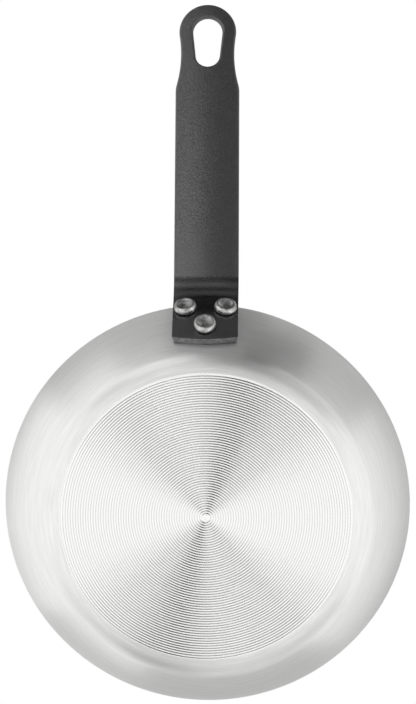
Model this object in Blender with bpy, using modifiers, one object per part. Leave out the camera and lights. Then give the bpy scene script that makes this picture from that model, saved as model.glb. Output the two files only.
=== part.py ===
"""Blini pan: a small pressed aluminium pan with a flat steel strip handle held on by three rivets.

Everything is in metres with +Z up. The origin is the middle of the underside, which rests on z = 0,
and the handle leaves the wall towards +Y.
"""
import math

import bmesh
import bpy
from mathutils import Matrix, Vector

# Pan: one disc of sheet, pressed into a flat base and a wall that steepens towards the rim.
RIM_RADIUS = 0.0602
RIM_HEIGHT = 0.018
BASE_RADIUS = 0.0440
PAN_SHEET = 0.003
CORNER_RADIUS = 0.008
CORNER_TURN = math.radians(42)
RIM_ROUNDING = 0.0009

# Handle: one steel strip, with a plate that lies on the wall, a bend, and a straight grip.
STRIP_WIDTH = 0.0189
STRIP_SHEET = 0.0025
STRIP_EDGE_ROUNDING = 0.0006
PLATE_FOOT_HEIGHT = 0.0032
PLATE_TOP_HEIGHT = 0.0158
PLATE_END_RADIUS = 0.040
PLATE_CORNER_RADIUS = 0.0007
BEND_RADIUS = 0.014
GRIP_RISE = math.radians(24.3)
GRIP_LENGTH = 0.0842
GRIP_CROWN_RADIUS = 0.060

# The grip's end: a round tip, a long waist and a soft shoulder, with a tapered hanging slot.
TIP_RADIUS = 0.00845
WAIST_HALF_WIDTH = 0.0079
WAIST_CURVE_RADIUS = 0.037
SHOULDER_RADIUS = 0.0090
SLOT_WIDE_RADIUS = 0.0044
SLOT_NARROW_RADIUS = 0.0036
SLOT_CENTRES = 0.0075
SLOT_TO_TIP = 0.0040

# Rivets: a dished button head outside, a low domed head inside, and a plain shank.
RIVET_SHANK_RADIUS = 0.0024
RIVET_HEAD_RADIUS = 0.0033
RIVET_HEAD_HEIGHT = 0.0018
RIVET_SIDE_HEIGHT = 0.0007
RIVET_SEAT_RADIUS = 0.0031
RIVET_FACE_RADIUS = 0.0026
RIVET_DISH_RADIUS = 0.0021
RIVET_DISH_DEPTH = 0.00035
RIVET_INNER_HEAD_RADIUS = 0.0038
RIVET_INNER_HEAD_HEIGHT = 0.0013
RIVET_INNER_HEAD_EDGE = 0.0004
UPPER_RIVET_HEIGHT = 0.0123
LOWER_RIVET_HEIGHT = 0.0066
UPPER_RIVET_SPACING = 0.0114

# Clearances between pieces that touch on the real pan, and how far a drill runs on past both sheets.
SEAT_GAP = 0.0003
HOLE_GAP = 0.0003
DRILL_OVERRUN = 0.004

# How finely round forms are divided.
PAN_STEPS = 96
WALL_STEPS = 9
CORNER_STEPS = 5
RIM_STEPS = 3
RIVET_STEPS = 32
RIVET_SIDE_STEPS = 6
RIVET_DOME_STEPS = 5
TIP_STEPS = 14
WAIST_STEPS = 7
SHOULDER_STEPS = 3
SLOT_STEPS = 7
FOOT_STEPS = 4
FOOT_CORNER_STEPS = 3
STRIP_EDGE_STEPS = 2
BEND_STEPS = 10
PLATE_STEPS = 8
STRIP_COLUMNS = 8
MERGE_DISTANCE = 0.00001
FLAT_ANGLE = math.radians(1)
SHARP_ANGLE = math.radians(35)
RIM_EDGE_ANGLE = math.radians(60)


def clear_scene():
    """Remove what a new file starts with."""
    for item in list(bpy.data.objects):
        bpy.data.objects.remove(item, do_unlink=True)


def make_collection(name):
    """A new collection in the scene."""
    collection = bpy.data.collections.new(name)
    bpy.context.scene.collection.children.link(collection)
    return collection


def make_material(name, colour, metallic, roughness):
    """A Principled material with one finish all over."""
    material = bpy.data.materials.new(name)
    material.use_nodes = True
    shader = material.node_tree.nodes["Principled BSDF"]
    shader.inputs["Base Color"].default_value = (*colour, 1.0)
    shader.inputs["Metallic"].default_value = metallic
    shader.inputs["Roughness"].default_value = roughness
    return material


def add_object(name, mesh, collection, material=None):
    """Put a mesh in the scene under the name of its sub-part."""
    item = bpy.data.objects.new(name, mesh)
    collection.objects.link(item)
    if material:
        mesh.materials.append(material)
    return item


def shade_smooth(mesh):
    """Smooth the round faces and keep the edges crisp."""
    mesh.shade_smooth()
    mesh.set_sharp_from_angle(angle=SHARP_ANGLE)


def arc(centre, radius, start, end, steps):
    """Points along an arc, both ends included."""
    points = []
    for step in range(steps + 1):
        angle = start + (end - start) * step / steps
        points.append((centre[0] + radius * math.cos(angle), centre[1] + radius * math.sin(angle)))
    return points


class Wall:
    """The outer face of the pan's wall in section: x is the distance from the axis, y the height.

    The flat base turns up through a tight corner, and one wide arc carries on from it to the rim. A place
    on the wall is given by its slope, the angle between the wall and the base.
    """

    def __init__(self):
        corner_x = BASE_RADIUS + CORNER_RADIUS * math.sin(CORNER_TURN)
        corner_y = CORNER_RADIUS * (1 - math.cos(CORNER_TURN))
        chord = math.hypot(RIM_RADIUS - corner_x, RIM_HEIGHT - corner_y)
        chord_slope = math.atan2(RIM_HEIGHT - corner_y, RIM_RADIUS - corner_x)
        self.rim_slope = 2 * chord_slope - CORNER_TURN
        self.radius = chord / (2 * math.sin(chord_slope - CORNER_TURN))
        self.centre_x = corner_x - self.radius * math.sin(CORNER_TURN)
        self.centre_y = corner_y + self.radius * math.cos(CORNER_TURN)

    def slope_at_height(self, height):
        """The wall's slope at a height on its outer face."""
        return math.acos((self.centre_y - height) / self.radius)

    def point(self, slope, outward=0.0):
        """A point at a slope, a distance outside the outer face."""
        reach = self.radius + outward
        return (self.centre_x + reach * math.sin(slope), self.centre_y - reach * math.cos(slope))

    def profile(self):
        """The outer face from the rim down to the middle of the base."""
        points = []
        for step in range(WALL_STEPS):
            slope = self.rim_slope + (CORNER_TURN - self.rim_slope) * step / WALL_STEPS
            points.append(self.point(slope))
        for step in range(CORNER_STEPS + 1):
            slope = CORNER_TURN * (1 - step / CORNER_STEPS)
            x = BASE_RADIUS + CORNER_RADIUS * math.sin(slope)
            points.append((x, CORNER_RADIUS * (1 - math.cos(slope))))
        points.append((0.0, 0.0))
        return points


class StripPath:
    """The middle of the strip's thickness, from the foot of the plate (0) to the tip (length)."""

    def __init__(self, wall):
        self.wall = wall
        self.offset = SEAT_GAP + STRIP_SHEET / 2
        self.foot_slope = wall.slope_at_height(PLATE_FOOT_HEIGHT)
        self.top_slope = wall.slope_at_height(PLATE_TOP_HEIGHT)
        self.plate_length = (wall.radius + self.offset) * (self.top_slope - self.foot_slope)
        self.bend_length = BEND_RADIUS * (self.top_slope - GRIP_RISE)
        self.length = self.plate_length + self.bend_length + GRIP_LENGTH

    def distance_at_height(self, height):
        """How far along the strip it passes a height on the wall behind it."""
        slope = self.wall.slope_at_height(height)
        return (self.wall.radius + self.offset) * (slope - self.foot_slope)

    def frame(self, distance):
        """The section point, its slope and the strip's crossways curvature at a distance."""
        if distance <= self.plate_length:
            slope = self.foot_slope + distance / (self.wall.radius + self.offset)
            x, y = self.wall.point(slope, self.offset)
            return x, y, slope, math.sin(slope) / x
        top_x, top_y = self.wall.point(self.top_slope, self.offset)
        top_curve = math.sin(self.top_slope) / top_x
        bent = min(distance - self.plate_length, self.bend_length)
        slope = self.top_slope - bent / BEND_RADIUS
        x = top_x + BEND_RADIUS * (math.sin(self.top_slope) - math.sin(slope))
        y = top_y + BEND_RADIUS * (math.cos(slope) - math.cos(self.top_slope))
        curve = top_curve + (1 / GRIP_CROWN_RADIUS - top_curve) * bent / self.bend_length
        straight = distance - self.plate_length - bent
        return x + straight * math.cos(slope), y + straight * math.sin(slope), slope, curve

    def place(self, across, distance, outward):
        """A point of the flat blank after forming: outward is measured from mid-thickness."""
        x, y, slope, curve = self.frame(distance)
        turn = across * curve
        sag = (math.cos(turn) - 1) / curve + outward * math.cos(turn)
        side = math.sin(turn) / curve + outward * math.sin(turn)
        return Vector((side, x + sag * math.sin(slope), y - sag * math.cos(slope)))

    def outward_normal(self, across, distance):
        """The direction square to the plate, away from the pan."""
        return (self.place(across, distance, STRIP_SHEET) - self.place(across, distance, 0.0)).normalized()


def strip_outline(path):
    """Half of the blank's outline, from the tip to the foot, as points across and along."""
    half = STRIP_WIDTH / 2
    tip_y = path.length - TIP_RADIUS
    waist_x = WAIST_HALF_WIDTH + WAIST_CURVE_RADIUS
    waist_y = tip_y - math.sqrt((WAIST_CURVE_RADIUS + TIP_RADIUS) ** 2 - waist_x ** 2)
    shoulder_x = half - SHOULDER_RADIUS
    shoulder_reach = math.sqrt((WAIST_CURVE_RADIUS + SHOULDER_RADIUS) ** 2 - (waist_x - shoulder_x) ** 2)
    shoulder_y = waist_y - shoulder_reach

    tip_turn = math.atan2(waist_y - tip_y, waist_x)
    shoulder_turn = math.atan2(shoulder_reach, waist_x - shoulder_x)
    points = arc((0.0, tip_y), TIP_RADIUS, math.pi / 2, tip_turn, TIP_STEPS)
    points += arc((waist_x, waist_y), WAIST_CURVE_RADIUS, math.pi + tip_turn, math.pi + shoulder_turn,
                  WAIST_STEPS)[1:]
    points += arc((shoulder_x, shoulder_y), SHOULDER_RADIUS, shoulder_turn, 0.0, SHOULDER_STEPS)[1:]

    # The foot is a shallow arc, rounded into the straight sides.
    corner_x = half - PLATE_CORNER_RADIUS
    end_reach = PLATE_END_RADIUS - PLATE_CORNER_RADIUS
    corner_y = PLATE_END_RADIUS - math.sqrt(end_reach ** 2 - corner_x ** 2)
    corner_turn = math.atan2(corner_y - PLATE_END_RADIUS, corner_x)
    points += arc((corner_x, corner_y), PLATE_CORNER_RADIUS, 0.0, corner_turn, FOOT_CORNER_STEPS)
    points += arc((0.0, PLATE_END_RADIUS), PLATE_END_RADIUS, corner_turn, -math.pi / 2, FOOT_STEPS)[1:]
    return points


def slot_outline(path):
    """Half of the hanging slot: a wide round end near the tip and a narrower one."""
    wide_y = path.length - SLOT_TO_TIP - SLOT_WIDE_RADIUS
    narrow_y = wide_y - SLOT_CENTRES
    taper = math.asin((SLOT_WIDE_RADIUS - SLOT_NARROW_RADIUS) / SLOT_CENTRES)
    points = arc((0.0, wide_y), SLOT_WIDE_RADIUS, math.pi / 2, -taper, SLOT_STEPS)
    points += arc((0.0, narrow_y), SLOT_NARROW_RADIUS, -taper, -math.pi / 2, SLOT_STEPS)
    return points


def closed_spline(curve, half_points):
    """Mirror half an outline and add it to the curve as one closed line."""
    mirrored = [(-x, y) for x, y in reversed(half_points[1:-1])]
    points = half_points + mirrored
    spline = curve.splines.new("POLY")
    spline.points.add(len(points) - 1)
    for point, (x, y) in zip(spline.points, points):
        point.co = (x, y, 0.0, 1.0)
    spline.use_cyclic_u = True


def flat_blank(path):
    """The strip as it is stamped: flat, with rounded edges and its slot, as a closed mesh."""
    curve = bpy.data.curves.new("handle_blank", "CURVE")
    curve.dimensions = "2D"
    curve.fill_mode = "BOTH"
    curve.extrude = STRIP_SHEET / 2 - STRIP_EDGE_ROUNDING
    curve.bevel_depth = STRIP_EDGE_ROUNDING
    curve.bevel_resolution = STRIP_EDGE_STEPS
    curve.offset = -STRIP_EDGE_ROUNDING
    closed_spline(curve, strip_outline(path))
    closed_spline(curve, slot_outline(path))
    blank = bpy.data.objects.new("handle_blank", curve)
    bpy.context.scene.collection.objects.link(blank)
    evaluated = blank.evaluated_get(bpy.context.evaluated_depsgraph_get())
    mesh = bpy.data.meshes.new_from_object(evaluated)
    bpy.data.objects.remove(blank, do_unlink=True)
    return mesh


def cut_across(form, place, direction):
    """Add a line of edges where the blank will curve."""
    everything = form.verts[:] + form.edges[:] + form.faces[:]
    bmesh.ops.bisect_plane(form, geom=everything, plane_co=place, plane_no=direction, dist=MERGE_DISTANCE)


def make_handle(path, collection, material, cutters):
    """Stamp the blank, divide it where it will bend, and press it to shape."""
    mesh = flat_blank(path)
    form = bmesh.new()
    form.from_mesh(mesh)
    bmesh.ops.remove_doubles(form, verts=form.verts, dist=MERGE_DISTANCE)
    bmesh.ops.dissolve_limit(form, angle_limit=FLAT_ANGLE, verts=form.verts, edges=form.edges)
    for step in range(1, PLATE_STEPS + 1):
        cut_across(form, (0, path.plate_length * step / PLATE_STEPS, 0), (0, 1, 0))
    for step in range(1, BEND_STEPS + 1):
        cut_across(form, (0, path.plate_length + path.bend_length * step / BEND_STEPS, 0), (0, 1, 0))
    for column in range(1, STRIP_COLUMNS):
        cut_across(form, (STRIP_WIDTH * (column / STRIP_COLUMNS - 0.5), 0, 0), (1, 0, 0))
    bmesh.ops.triangulate(form, faces=form.faces)
    for vert in form.verts:
        across, distance, outward = vert.co
        vert.co = path.place(across, distance, -outward)
    bmesh.ops.recalc_face_normals(form, faces=form.faces)
    form.to_mesh(mesh)
    form.free()
    handle = add_object("handle", mesh, collection, material)
    for cutter in cutters:
        cut_hole(handle, cutter)
    shade_smooth(mesh)
    return handle


def make_pan(wall, collection, material, cutters):
    """Turn the outer face, give it the sheet's thickness, round the rim and drill the rivet holes."""
    mesh = bpy.data.meshes.new("pan_body")
    profile = [(x, 0.0, z) for x, z in wall.profile()]
    mesh.from_pydata(profile, [(i, i + 1) for i in range(len(profile) - 1)], [])
    pan = add_object("pan_body", mesh, collection, material)
    turn = pan.modifiers.new("turn", "SCREW")
    turn.steps = PAN_STEPS
    turn.render_steps = PAN_STEPS
    turn.use_merge_vertices = True
    turn.merge_threshold = MERGE_DISTANCE
    sheet = pan.modifiers.new("sheet", "SOLIDIFY")
    sheet.thickness = PAN_SHEET
    sheet.offset = -1
    sheet.use_even_offset = True
    rim = pan.modifiers.new("rim", "BEVEL")
    rim.width = RIM_ROUNDING
    rim.segments = RIM_STEPS
    rim.limit_method = "ANGLE"
    rim.angle_limit = RIM_EDGE_ANGLE
    for cutter in cutters:
        cut_hole(pan, cutter)
    return pan


def turned_mesh(name, profile, steps):
    """A solid of revolution about Z from a section that starts and ends on the axis."""
    mesh = bpy.data.meshes.new(name)
    form = bmesh.new()
    verts = [form.verts.new((x, 0.0, z)) for x, z in profile]
    edges = [form.edges.new(pair) for pair in zip(verts, verts[1:])]
    bmesh.ops.spin(form, geom=verts + edges, cent=(0, 0, 0), axis=(0, 0, 1), angle=2 * math.pi,
                   steps=steps, use_merge=True)
    bmesh.ops.remove_doubles(form, verts=form.verts, dist=MERGE_DISTANCE)
    bmesh.ops.recalc_face_normals(form, faces=form.faces)
    form.to_mesh(mesh)
    form.free()
    shade_smooth(mesh)
    return mesh


def rivet_profile():
    """Half a rivet in section, outer head up: z = 0 is the outer face of the plate."""
    head_edge = RIVET_HEAD_RADIUS - RIVET_FACE_RADIUS
    side_rise = RIVET_HEAD_HEIGHT - RIVET_SIDE_HEIGHT
    crown = SEAT_GAP + RIVET_HEAD_HEIGHT
    dish_flat = RIVET_DISH_RADIUS - RIVET_DISH_DEPTH
    inner_face = -(STRIP_SHEET + SEAT_GAP + PAN_SHEET)
    sag = RIVET_INNER_HEAD_RADIUS ** 2 / (2 * RIM_RADIUS)
    inner_seat = inner_face - SEAT_GAP - sag
    inner_dome = RIVET_INNER_HEAD_HEIGHT - RIVET_INNER_HEAD_EDGE
    inner_radius = (RIVET_INNER_HEAD_RADIUS ** 2 + inner_dome ** 2) / (2 * inner_dome)
    half_turn = math.asin(RIVET_INNER_HEAD_RADIUS / inner_radius)

    points = [(0.0, crown - RIVET_DISH_DEPTH), (dish_flat, crown - RIVET_DISH_DEPTH)]
    points.append((RIVET_DISH_RADIUS, crown))
    for step in range(RIVET_SIDE_STEPS + 1):
        angle = math.pi / 2 * (1 - step / RIVET_SIDE_STEPS)
        x = RIVET_FACE_RADIUS + head_edge * math.cos(angle)
        points.append((x, SEAT_GAP + RIVET_SIDE_HEIGHT + side_rise * math.sin(angle)))
    points.append((RIVET_SEAT_RADIUS, SEAT_GAP))
    points.append((RIVET_SHANK_RADIUS, SEAT_GAP))
    points.append((RIVET_SHANK_RADIUS, inner_seat))
    points.append((RIVET_INNER_HEAD_RADIUS, inner_seat))
    edge = inner_seat - RIVET_INNER_HEAD_EDGE
    for step in range(RIVET_DOME_STEPS + 1):
        angle = half_turn * (1 - step / RIVET_DOME_STEPS)
        x = inner_radius * math.sin(angle)
        points.append((x, edge - inner_radius * (math.cos(angle) - math.cos(half_turn))))
    return points


def rivet_places(path):
    """Where each rivet goes: its name and its seat on the plate."""
    upper = path.distance_at_height(UPPER_RIVET_HEIGHT)
    lower = path.distance_at_height(LOWER_RIVET_HEIGHT)
    return {
        "rivet_left": (-UPPER_RIVET_SPACING / 2, upper),
        "rivet_right": (UPPER_RIVET_SPACING / 2, upper),
        "rivet_lower": (0.0, lower),
    }


def seat_matrix(path, across, distance):
    """Z out of the plate's outer face at a place on it."""
    normal = path.outward_normal(across, distance)
    turn = normal.to_track_quat("Z", "Y").to_matrix().to_4x4()
    return Matrix.Translation(path.place(across, distance, STRIP_SHEET / 2)) @ turn


def make_cutter(name, collection, matrix):
    """A drill through the plate and the wall: its middle is on the plate's outer face."""
    form = bmesh.new()
    radius = RIVET_SHANK_RADIUS + HOLE_GAP
    reach = STRIP_SHEET + SEAT_GAP + PAN_SHEET + DRILL_OVERRUN
    bmesh.ops.create_cone(form, cap_ends=True, segments=RIVET_STEPS, radius1=radius, radius2=radius,
                          depth=2 * reach)
    mesh = bpy.data.meshes.new(name)
    form.to_mesh(mesh)
    form.free()
    cutter = add_object(name, mesh, collection)
    cutter.matrix_world = matrix
    cutter.display_type = "WIRE"
    cutter.hide_render = True
    return cutter


def cut_hole(item, cutter):
    """Take the cutter out of the object."""
    hole = item.modifiers.new(cutter.name, "BOOLEAN")
    hole.operation = "DIFFERENCE"
    hole.solver = "EXACT"
    hole.object = cutter


def main():
    """Build the pan, its handle and the three rivets."""
    clear_scene()
    parts = make_collection("blini_pan")
    tools = make_collection("cutters")
    brushed = make_material("brushed_aluminium", (0.78, 0.78, 0.77), 1.0, 0.35)
    coated = make_material("coated_steel", (0.085, 0.085, 0.087), 0.0, 0.5)
    bright = make_material("rivet_aluminium", (0.72, 0.72, 0.71), 1.0, 0.4)

    wall = Wall()
    path = StripPath(wall)
    places = rivet_places(path)
    seats = {name: seat_matrix(path, *place) for name, place in places.items()}
    cutters = [make_cutter("drill_" + name, tools, matrix) for name, matrix in seats.items()]
    make_pan(wall, parts, brushed, cutters)
    make_handle(path, parts, coated, cutters)
    for name, matrix in seats.items():
        rivet = add_object(name, turned_mesh(name, rivet_profile(), RIVET_STEPS), parts, bright)
        rivet.matrix_world = matrix


main()
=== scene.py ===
# %% [markdown]
# # A blini pan, seen from below
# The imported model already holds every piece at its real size. This lesson dresses it: a turned and brushed
# aluminium pan, a powder-coated strip handle and three aluminium rivets. All sizes are in metres, the origin
# is the middle of the underside, +Z is up and the handle leaves towards +Y.

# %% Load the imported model
import math

import bmesh
import bpy
from mathutils import Matrix, Vector, noise


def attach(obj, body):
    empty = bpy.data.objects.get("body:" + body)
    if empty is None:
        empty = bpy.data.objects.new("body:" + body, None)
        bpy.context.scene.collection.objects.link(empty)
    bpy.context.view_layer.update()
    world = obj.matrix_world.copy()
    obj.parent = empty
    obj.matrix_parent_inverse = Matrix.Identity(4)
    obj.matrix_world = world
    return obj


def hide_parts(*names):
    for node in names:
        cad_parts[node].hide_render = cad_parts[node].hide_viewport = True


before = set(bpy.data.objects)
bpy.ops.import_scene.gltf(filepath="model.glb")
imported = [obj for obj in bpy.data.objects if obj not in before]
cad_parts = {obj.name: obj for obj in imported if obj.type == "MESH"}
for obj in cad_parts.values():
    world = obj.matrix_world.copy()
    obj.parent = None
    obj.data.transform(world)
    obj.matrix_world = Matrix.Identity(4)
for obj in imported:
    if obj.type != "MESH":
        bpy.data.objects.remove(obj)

MM = 0.001
scene = bpy.context.scene
scene.view_settings.view_transform = "Standard"
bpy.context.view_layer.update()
print("Nodes:", sorted(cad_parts))

# %% [markdown]
# ## The camera
# The photograph looks straight up at the underside from about a metre, almost square to it. A camera could be
# nudged until the picture fits, but the rim's ellipse and the turned disc's ellipse together give the two
# small tilts more surely. A long lens from a metre keeps the slight perspective that makes the near base look
# larger against the rim. The lens is worked out from the focal length in pixels of a 416 by 704 image.

# %% Place the camera
IMAGE_HEIGHT = 704
FOCAL_PIXELS = 3426.4
SENSOR_SIDE = 36.0
CAMERA_DISTANCE = 1.0
CAMERA_TARGET = Vector((-0.68 * MM, 47.2 * MM, 10 * MM))
CAMERA_ASIDE = math.radians(-1.65)
CAMERA_TILT = math.radians(10.06)
CAMERA_ROLL = math.radians(-0.37)

to_camera = Vector((math.tan(CAMERA_ASIDE), math.tan(CAMERA_TILT), -1)).normalized()
level_right = Vector((0, 1, 0)).cross(to_camera).normalized()
level_up = to_camera.cross(level_right)
level = Matrix((level_right, level_up, to_camera)).transposed()
turn = level @ Matrix.Rotation(CAMERA_ROLL, 3, "Z")
camera_data = bpy.data.cameras.new("camera")
camera_data.sensor_width = SENSOR_SIDE
camera_data.lens = FOCAL_PIXELS / IMAGE_HEIGHT * SENSOR_SIDE
camera = bpy.data.objects.new("camera", camera_data)
camera.matrix_world = Matrix.Translation(CAMERA_TARGET + CAMERA_DISTANCE * to_camera) @ turn.to_4x4()
scene.collection.objects.link(camera)
scene.camera = camera
print("Lens:", round(camera_data.lens, 1), "mm; camera in mm:", [round(c / MM) for c in camera.location])

# %% [markdown]
# ## Colours and nodes
# Colours are written as a picture editor shows them, in sRGB hex, and one function turns them to the linear
# values that Blender's shaders add up. One more function adds a node with its settings and its links, so a
# material below reads from its pattern to its shader.


# %% Helpers for colours and nodes
def colour(code):
    """A hex colour such as 'F2F2F0' as linear red, green, blue and 1."""
    shares = [int(code[i:i + 2], 16) / 255 for i in (0, 2, 4)]
    linear = [s / 12.92 if s <= 0.04045 else ((s + 0.055) / 1.055) ** 2.4 for s in shares]
    return (*linear, 1.0)


def add_node(tree, kind, sockets=None, **settings):
    """Add a node: settings are its properties, sockets its inputs, each a value or another node's output."""
    made = tree.nodes.new(kind)
    for name, value in settings.items():
        setattr(made, name, value)
    for name, value in (sockets or {}).items():
        if isinstance(value, bpy.types.NodeSocket):
            tree.links.new(value, made.inputs[name])
        else:
            made.inputs[name].default_value = value
    return made


def new_material(name):
    """A material with its node tree and its Principled shader."""
    material = bpy.data.materials.new(name)
    material.use_nodes = True
    tree = material.node_tree
    return material, tree, tree.nodes["Principled BSDF"]


def per_metre(size):
    """The scale of a pattern whose features are this size."""
    return 1 / size


print("White as linear:", colour("FFFFFF")[:3], "mid grey:", round(colour("808080")[0], 3))

# %% [markdown]
# ## The studio
# The pan hangs in a white tent. White sheets all round it could be modelled, but a world that is white on
# every side does the same with nothing in the light's way. It is plain white to the camera and in
# reflections, and dimmer for the light it sheds, so the object isn't washed out. The floor is a pale sheet
# under the pan that only shows from above: from below it lets the camera and the lamps through, as a sheet of
# glass would.

# %% The white surroundings and the floor
AMBIENT = 0.25
FLOOR_DROP = 0.2 * MM
FLOOR_SIDE = 4.0

world = bpy.data.worlds.new("white_tent")
world.use_nodes = True
scene.world = world
sky = world.node_tree
sky.nodes.clear()
path = add_node(sky, "ShaderNodeLightPath")
seen = add_node(sky, "ShaderNodeMath", {0: path.outputs["Is Camera Ray"], 1: path.outputs["Is Glossy Ray"]},
                operation="MAXIMUM")
seen = add_node(sky, "ShaderNodeMath", {0: seen.outputs[0], 1: path.outputs["Is Transmission Ray"]},
                operation="MAXIMUM")
strength = add_node(sky, "ShaderNodeMapRange", {"Value": seen.outputs[0], "To Min": AMBIENT, "To Max": 1.0})
background = add_node(sky, "ShaderNodeBackground",
                      {"Color": colour("FFFFFF"), "Strength": strength.outputs[0]})
add_node(sky, "ShaderNodeOutputWorld", {"Surface": background.outputs[0]})

floor_material = bpy.data.materials.new("pale_floor")
floor_material.use_nodes = True
tree = floor_material.node_tree
tree.nodes.clear()
path = add_node(tree, "ShaderNodeLightPath")
side = add_node(tree, "ShaderNodeNewGeometry")
front = add_node(tree, "ShaderNodeMath", {0: 1.0, 1: side.outputs["Backfacing"]}, operation="SUBTRACT")
shown = add_node(tree, "ShaderNodeMath", {0: path.outputs["Is Camera Ray"], 1: front.outputs[0]},
                 operation="MULTIPLY")
clear = add_node(tree, "ShaderNodeBsdfTransparent")
sheet = add_node(tree, "ShaderNodeBsdfDiffuse", {"Color": colour("F0F0EE")})
mix = add_node(tree, "ShaderNodeMixShader", {0: shown.outputs[0], 1: clear.outputs[0], 2: sheet.outputs[0]})
add_node(tree, "ShaderNodeOutputMaterial", {"Surface": mix.outputs[0]})

form = bmesh.new()
bmesh.ops.create_grid(form, x_segments=1, y_segments=1, size=FLOOR_SIDE / 2)
bmesh.ops.translate(form, verts=form.verts, vec=(0, 0, -FLOOR_DROP))
floor_mesh = bpy.data.meshes.new("floor")
form.to_mesh(floor_mesh)
form.free()
floor_mesh.materials.append(floor_material)
floor = bpy.data.objects.new("floor", floor_mesh)
scene.collection.objects.link(floor)
print("World", world.name, "and a floor of", FLOOR_SIDE, "m")

# %% [markdown]
# ## Cards around the pan
# Turned metal shows what stands around it as fans that meet in the middle, so the studio's grey and black
# cards matter as much as its lamps. Flat cards could be set up round the pan, but each would have to be
# aimed. So each card is a patch of one large sphere, which faces the pan wherever it is, and only reflections
# see it. Its place is given as the metal sees it: the angle away from the direction that the flat base
# mirrors to the camera, and the bearing in the photograph, from the right and round through the top.

# %% Grey and black cards
CARD_DISTANCE = 3.0
CARD_STEP = math.radians(5)

mirrored = Vector((-to_camera.x, -to_camera.y, to_camera.z))
photo_right = Vector((-1, 0, 0))
photo_right = (photo_right - photo_right.dot(mirrored) * mirrored).normalized()
photo_up = mirrored.cross(photo_right)

# Each line is a name, the bearing's two ends, the two angles off the axis (all in degrees) and a grey. A
# softbox has its strength too: the left half of the grip mirrors one.
CARDS = [
    ("upper_black", 62, 86, 12, 45, "0C0C0C"),
    ("lower_black", 242, 263, 16, 50, "545454"),
    ("upper_gap", 86, 104, 14, 42, "ACACAC"),
    ("lower_gap", 263, 284, 16, 55, "D0D0D0"),
    ("upper_right_grey", 33, 62, 20, 60, "B0B0B0"),
    ("upper_left_grey", 104, 142, 20, 42, "9C9C9C"),
    ("lower_left_grey", 214, 242, 20, 46, "CCCCCC"),
    ("lower_right_grey", 284, 322, 20, 50, "BCBCBC"),
    ("grip_light", 97, 122, 42, 52, "FFFFFF", 3.1),
    ("grip_middle", 80, 95, 45, 54, "949494"),
    ("grip_shade", 64, 80, 45, 54, "D8D8D8"),
    ("bend_black", 63, 97, 54, 71, "000000"),
    ("bend_left_black", 97, 122, 52, 71, "000000"),
    ("bend_light", 77, 106, 72, 82, "C0C0C0"),
    ("foot_black", 79, 106, 84, 97, "000000"),
    ("plate_grey", 79, 106, 97, 111, "A0A0A0"),
    ("root_black", 79, 106, 111, 140, "000000"),
    ("right_wall", -60, 22, 84, 114, "E4E4E4"),
    ("right_rim", -36, 22, 114, 160, "ACACAC"),
    ("lower_right_rim", -60, -36, 114, 160, "989898"),
    ("top_right_wall", 22, 50, 76, 116, "B0B0B0"),
    ("upper_right_rim", 22, 68, 116, 160, "C0C0C0"),
    ("top_black_wall", 50, 68, 71, 116, "6C6C6C"),
    ("top_shade_low", 68, 77, 71, 84, "404040"),
    ("top_shade_wall", 68, 79, 84, 112, "787878"),
    ("top_shade_rim", 68, 79, 112, 160, "9C9C9C"),
    ("top_left_wall", 106, 128, 84, 112, "A6A6A6"),
    ("top_left_rim", 106, 128, 112, 160, "BABABA"),
    ("upper_left_wall", 128, 158, 96, 160, "B6B6B6"),
    ("left_rim", 158, 206, 120, 160, "A4A4A4"),
    ("lower_left_wall", 226, 252, 94, 114, "ACACAC"),
    ("lower_left_rim", 206, 252, 114, 160, "C6C6C6"),
    ("bottom_wall", 252, 300, 66, 160, "B8B8B8"),
]


def add_card(name, bearing_start, bearing_end, off_axis_start, off_axis_end, grey, strength=1.0):
    """A curved card that only reflections see, glowing as brightly as its grey."""
    material = bpy.data.materials.new(name)
    material.use_nodes = True
    nodes = material.node_tree
    nodes.nodes.clear()
    glow = add_node(nodes, "ShaderNodeEmission", {"Color": colour(grey), "Strength": strength})
    add_node(nodes, "ShaderNodeOutputMaterial", {"Surface": glow.outputs[0]})
    bearing_start, bearing_end = math.radians(bearing_start), math.radians(bearing_end)
    off_axis_start, off_axis_end = math.radians(off_axis_start), math.radians(off_axis_end)
    across = max(1, round((bearing_end - bearing_start) / CARD_STEP))
    along = max(1, round((off_axis_end - off_axis_start) / CARD_STEP))
    card_form = bmesh.new()
    bmesh.ops.create_grid(card_form, x_segments=across, y_segments=along, size=0.5)
    for vert in card_form.verts:
        bearing = bearing_start + (bearing_end - bearing_start) * (vert.co.x + 0.5)
        off_axis = off_axis_start + (off_axis_end - off_axis_start) * (vert.co.y + 0.5)
        sideways = math.cos(bearing) * photo_right + math.sin(bearing) * photo_up
        vert.co = CARD_DISTANCE * (math.cos(off_axis) * mirrored + math.sin(off_axis) * sideways)
    mesh = bpy.data.meshes.new(name)
    card_form.to_mesh(mesh)
    card_form.free()
    mesh.materials.append(material)
    card = bpy.data.objects.new(name, mesh)
    card.visible_camera = False
    card.visible_diffuse = False
    card.visible_transmission = False
    card.visible_shadow = False
    scene.collection.objects.link(card)


for card_line in CARDS:
    add_card(*card_line)
print("Cards:", len(CARDS))

# %% [markdown]
# ## The lamps
# Large soft lamps give the coated handle its shape. Three stand low: one on the photograph's left, one almost
# as strong at its foot and a weak one on its right. Two more hang above, for whoever walks round the pan and
# looks inside. Sun lamps would light it as well, but with hard shadows under the rivets. Metal doesn't mirror
# the lamps, because the white tent and the cards already give it all that it shows.

# %% Soft lamps
LAMP_SIDE = 0.7
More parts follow.
